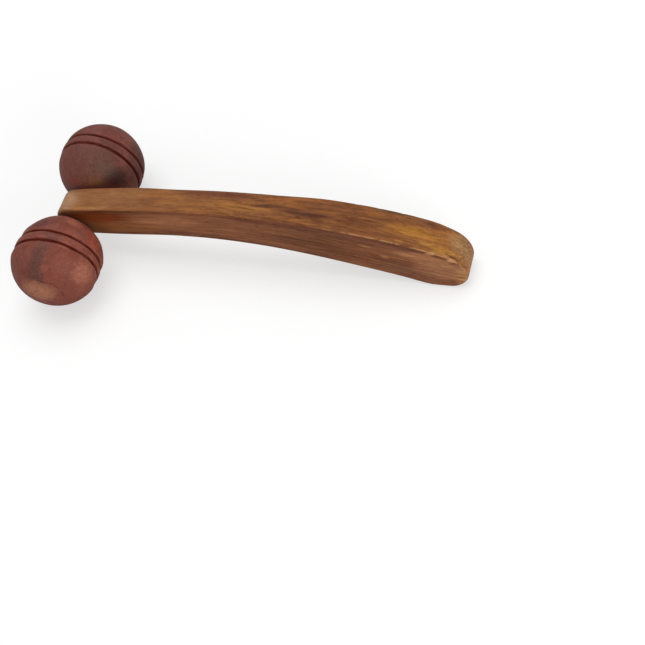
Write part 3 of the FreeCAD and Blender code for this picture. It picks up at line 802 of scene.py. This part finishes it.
def groove_marks(look, wood, side, seed, local, x, out, z, cut, band_scuff):
    """Scuffs round the raised band between the two grooves, and the grooves darkened with painted
    shade.
    """
    turn = look.math("ARCTAN2", z, x) * 22.0
    scuff = look.noise(look.join(turn * 0.16, out * 1.5, float(seed)), detail=4.0, rough=0.65)
    band = out.size().ramp(low=6.5, high=4.0)
    front = look.spot(local, centre=(19.5, 0.0, 10.0), size=(10.0, 6.0, 10.0), soft=0.8)
    pale_scuff = band * scuff.ramp(low=0.50, high=0.64)
    wood = wood.toward(srgb(168, 112, 98), pale_scuff * (band_scuff + front * 0.30))
    wood = wood.toward(srgb(82, 42, 38), band * scuff.ramp(low=0.46, high=0.34) * 0.50)
    # the turned grooves get paler worn lips, and painted shade darkens them towards the bottom
    lip = cut.ramp(low=0.0, high=0.06) * cut.ramp(low=0.30, high=0.10)
    wood = wood.toward(srgb(158, 104, 84), lip * 0.25)
    # how strongly the painted groove shade shows: patchy, and on the right ball weaker towards -X
    groove_shade = scuff.ramp(low=0.36, high=0.62) * -0.40 + 1.0
    if side > 0:
        groove_shade = groove_shade * (x.ramp(low=-16.0, high=8.0) * 0.55 + 0.42)
    wood = wood.toward(srgb(94, 36, 26), cut.ramp(low=0.04, high=0.42) * 0.60 * groove_shade)
    return wood.toward(srgb(68, 14, 5), cut.ramp(low=0.34, high=0.80) * 0.95 * groove_shade)


def ball_wood(name, side, seed, tone, patches, painted_highlight_centre, painted_highlight_flecks, band_scuff):
    """Dark red hardwood turned across, so its grain runs along the axle (Y).
    painted_highlight_flecks is how strongly pale flecks, a painted highlight, show about
    painted_highlight_centre, and band_scuff how strongly pale scuffs show between the grooves."""
    look = Look(name)
    place = look.vmath("SUBTRACT", look.place_mm(), (0.0, side * BALL_Y, 0.0))
    x, y, z = look.split(place)
    out = y * float(side)
    local = look.join(x, out, z)
    wave = look.streaks(place, along=60, across=14, seed=seed + 1, axis=1, detail=2.0) - 0.5
    grained = look.join(x + wave * 8.0, y, z + wave * -6.0)
    broad = look.streaks(grained, along=34, across=9.0, seed=seed + 4, axis=1, detail=2.5)
    streak = look.streaks(grained, along=22, across=2.6, seed=seed + 9, axis=1,
                          detail=4.0, rough=0.6)
    vein = look.streaks(grained, along=12, across=1.1, seed=seed + 23, axis=1,
                        detail=4.0, rough=0.65)
    pore = look.streaks(grained, along=2.4, across=0.34, seed=seed + 13, axis=1, detail=2.0)
    mottle = look.mottle(place, per_mm=0.42, detail=5.0, rough=0.68)
    speck = look.mottle(place, per_mm=1.5, rough=0.6)
    cloud = look.mottle(place, per_mm=0.20, detail=4.0, rough=0.6, distort=0.6)
    cut = look.attribute("cut")

    wood = look.mix(broad.ramp(low=0.34, high=0.64), srgb(132, 78, 66), srgb(124, 68, 56))
    wood = wood.toward(srgb(100, 56, 48), streak.ramp(low=0.50, high=0.74) * 0.45)
    wood = wood.toward(srgb(108, 64, 58), mottle.ramp(low=0.5, high=0.66) * 0.38)
    wood = wood.toward(srgb(142, 88, 70), mottle.ramp(low=0.47, high=0.34) * 0.30)
    shift = look.join((mottle - 0.5) * 9.0, (speck - 0.5) * 6.0, (mottle - 0.5) * -7.0)
    warped = look.vmath("ADD", local, shift)
    for centre, size, colour, amount in patches:
        wood = wood.toward(srgb(*colour), look.spot(warped, centre, size, soft=0.7) * amount)
    grain = ((vein - 0.5) * 0.55 + (mottle - 0.5) * 0.85 + (speck - 0.5) * 0.45
             + (cloud - 0.5) * 0.60)
    wood = wood.shaded(grain + 1.0, warm=0.2)
    pores = pore.ramp(low=0.60, high=0.72)
    wood = wood.toward(srgb(58, 26, 22), pores * 0.30)
    # faint dark checks and dents, scattered
    shift = look.join((mottle - 0.5) * 5.0, 0.0, (mottle - 0.5) * 5.0)
    check = look.streaks(look.vmath("ADD", grained, shift), along=7.0, across=1.6,
                         seed=seed + 33, detail=4.0, rough=0.6)
    check = (check - 0.5).size().ramp(low=0.018, high=0.004) * cloud.ramp(low=0.56, high=0.66)
    wood = wood.toward(srgb(82, 42, 36), check * 0.42)
    # pale flecks in the grain all over, and more about painted_highlight_centre as a painted
    # highlight
    lit = look.spot(local, painted_highlight_centre, size=(9.5, 11.0, 11.0), soft=0.8)
    fleck = look.mottle(place, per_mm=1.15, detail=4.0, rough=0.7).ramp(low=0.52, high=0.66)
    wood = wood.toward(srgb(190, 138, 114), fleck * (lit * painted_highlight_flecks + 0.10))
    wood = groove_marks(look, wood, side, seed, local, x, out, z, cut, band_scuff)
    creased = look.attribute("crease").ramp(low=0.25, high=0.8)
    wood = wood.toward(srgb(70, 34, 28), creased * 0.62)
    wood = look.mix(1.0, wood, tone, mode="MULTIPLY")

    relief_height = streak * 0.5 + pores * -1.0 + speck * 0.9 + mottle * 0.7
    normal = look.bump(relief_height, distance=0.00009, strength=0.6)
    gloss = 0.17 - cut.ramp(low=0.1, high=0.6) * 0.16
    return look.finish(wood, 0.46 + mottle * 0.18, normal, specular=gloss,
                       coat=0.02, coat_rough=0.35)


# ---------------------------------------------------------------- metal, fibre
def steel(name, tint, base_rough):
    """Steel with fine lines along the axle."""
    look = Look(name)
    place = look.place_mm()
    lines = look.mottle(place, per_mm=(7.0, 0.6, 7.0), rough=0.6)
    spots = look.mottle(place, per_mm=1.3)
    dull = tuple(level * 0.78 for level in tint)
    colour = look.mix(spots.ramp(low=0.45, high=0.7), tint, dull)
    normal = look.bump(lines, distance=0.00001, strength=0.4)
    return look.finish(colour, base_rough + lines * 0.22, normal, metallic=1.0)


def fibre_look():
    look = Look("spacer_fibre_look")
    blotch = look.mottle(look.place_mm(), per_mm=2.2)
    colour = look.mix(blotch, srgb(62, 38, 32), srgb(46, 28, 24))
    normal = look.bump(blotch, distance=0.00002, strength=0.4)
    return look.finish(colour, 0.55 + blotch * 0.15, normal, specular=0.2)


# ---------------------------------------------------------------- pieces
def dress(ob, mat):
    ob.data.materials.clear()
    ob.data.materials.append(mat)


dress(shaped_handle(), handle_wood())
left_wood = ball_wood("left_ball_wood", side=-1, seed=3.0, tone=(1.03, 0.90, 0.85),
                      patches=LEFT_PATCHES, painted_highlight_centre=(19.4, 8.6, 4.6),
                      painted_highlight_flecks=0.42, band_scuff=0.42)
right_wood = ball_wood("right_ball_wood", side=1, seed=17.0, tone=(0.86, 0.83, 0.86),
                       patches=RIGHT_PATCHES, painted_highlight_centre=(-17.0, 9.0, 9.0),
                       painted_highlight_flecks=0.12, band_scuff=0.08)
left_ball = turned_ball(
    "left_ball", side=-1, seed=3, plump=0.38, cant=(2.6, -0.4), mid=0.40, half=3.0,
    offset=-0.45, waist=0.75,
    dents=(((-0.65, -0.45, 0.60), 11.5, -1.0), ((-0.78, 0.62, -0.10), 10.0, 0.55),
           ((0.84, -0.52, 0.04), 9.0, 0.60), ((0.0, 0.0, -1.0), 9.0, 0.36)))
dress(left_ball, left_wood)
right_ball = turned_ball(
    "right_ball", side=1, seed=8, plump=0.0, cant=(1.1, -1.0), mid=-0.40, half=2.85,
    offset=0.80, waist=0.22, dents=(((0.0, 0.0, -1.0), 9.0, 0.18),))
dress(right_ball, right_wood)
dress(pieces["left_end_plug"], left_wood)
dress(pieces["right_end_plug"], right_wood)
rod_steel = steel("rod_steel_look", tint=(0.56, 0.56, 0.57), base_rough=0.28)
fastener_steel = steel("fastener_steel_look", tint=(0.62, 0.62, 0.60), base_rough=0.34)
dress(pieces["axle_rod"], rod_steel)
dark_fibre = fibre_look()
for end in ("left", "right"):
    dress(pieces[end + "_spacer_washer"], dark_fibre)
    dress(pieces[end + "_retaining_washer"], fastener_steel)
    dress(pieces[end + "_retaining_screw"], fastener_steel)


# ---------------------------------------------------------------- stage
def floor_look():
    """Pale to the camera, fading far off into the white backdrop; grey to other rays."""
    look = Look("floor_look")
    place = look.place_mm()
    blotch = look.mottle(place, per_mm=0.01, detail=2.0)
    seen = look.add("LightPath", {}, "Is Camera Ray")
    x, y, _ = look.split(place)
    far = look.math("SQRT", x * x + y * y).ramp(low=420.0, high=1500.0)
    pale = look.mix(far, look.mix(blotch, (0.50,) * 3, (0.48,) * 3), (0.0,) * 3)
    look.put(look.bsdf.inputs["Emission Color"], (1.0, 1.0, 1.0))
    look.put(look.bsdf.inputs["Emission Strength"], seen * (0.55 + far * 0.45))
    return look.finish(look.mix(seen, (0.62, 0.61, 0.60), pale), rough=0.9, specular=0.05)


def stage_floor(half_size=8.0, gap=0.0002):
    """A square floor just below the lowest point; sizes in metres."""
    mesh = bpy.data.meshes.new("floor")
    corners = [(x * half_size, y * half_size, 0) for x, y in ((-1, -1), (1, -1), (1, 1), (-1, 1))]
    mesh.from_pydata(corners, [], [(0, 1, 2, 3)])
    ob = link("floor", mesh)
    mesh.materials.append(floor_look())
    ob.location.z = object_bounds()[0][2] - gap


def area_light(name, at, aim, size, power):
    data = bpy.data.lights.new(name, "AREA")
    data.shape = "RECTANGLE"
    data.size = size
    data.size_y = size
    data.energy = power
    ob = link(name, data)
    ob.location = at
    ob.rotation_euler = (Vector(aim) - Vector(at)).to_track_quat("-Z", "Y").to_euler()


def studio_world():
    """The backdrop looks white, and lights the piece as a softer grey."""
    world = bpy.data.worlds.new("studio")
    scene.world = world
    world.use_nodes = True
    nodes, links = world.node_tree.nodes, world.node_tree.links
    background = nodes["Background"]
    background.inputs[0].default_value = (1.0, 1.0, 1.0, 1.0)
    ray = nodes.new("ShaderNodeLightPath")
    level = nodes.new("ShaderNodeMapRange")
    level.inputs["To Min"].default_value = 0.46
    level.inputs["To Max"].default_value = 1.0
    links.new(ray.outputs["Is Camera Ray"], level.inputs["Value"])
    links.new(level.outputs[0], background.inputs[1])


stage_floor()
area_light("key", at=(1.14, -1.02, 0.46), aim=(0.0, 0.0, 0.02), size=0.9, power=11.5)
area_light("top", at=(-0.15, 0.35, 1.65), aim=(0.0, 0.0, 0.0), size=1.4, power=13.5)
studio_world()
scene.view_settings.view_transform = "Standard"
scene.view_settings.look = "None"

# ---------------------------------------------------------------- camera
CAMERA_FROM_AXLE = Vector((0.3314256, -0.3697977, 0.4763100))
CAMERA_TURN = Matrix(((0.9470679, -0.0939940, 0.3069650),
                      (0.2513299, 0.8119930, -0.5267834),
                      (-0.1997390, 0.5760491, 0.7926360)))
camera_data = bpy.data.cameras.new("camera")
camera_data.sensor_width = 36.0
camera_data.lens = 72.5581395
camera_data.clip_start = 0.01
camera = link("camera", camera_data)
camera.matrix_world = Matrix.Translation(AXLE + CAMERA_FROM_AXLE) @ CAMERA_TURN.to_4x4()
scene.camera = camera
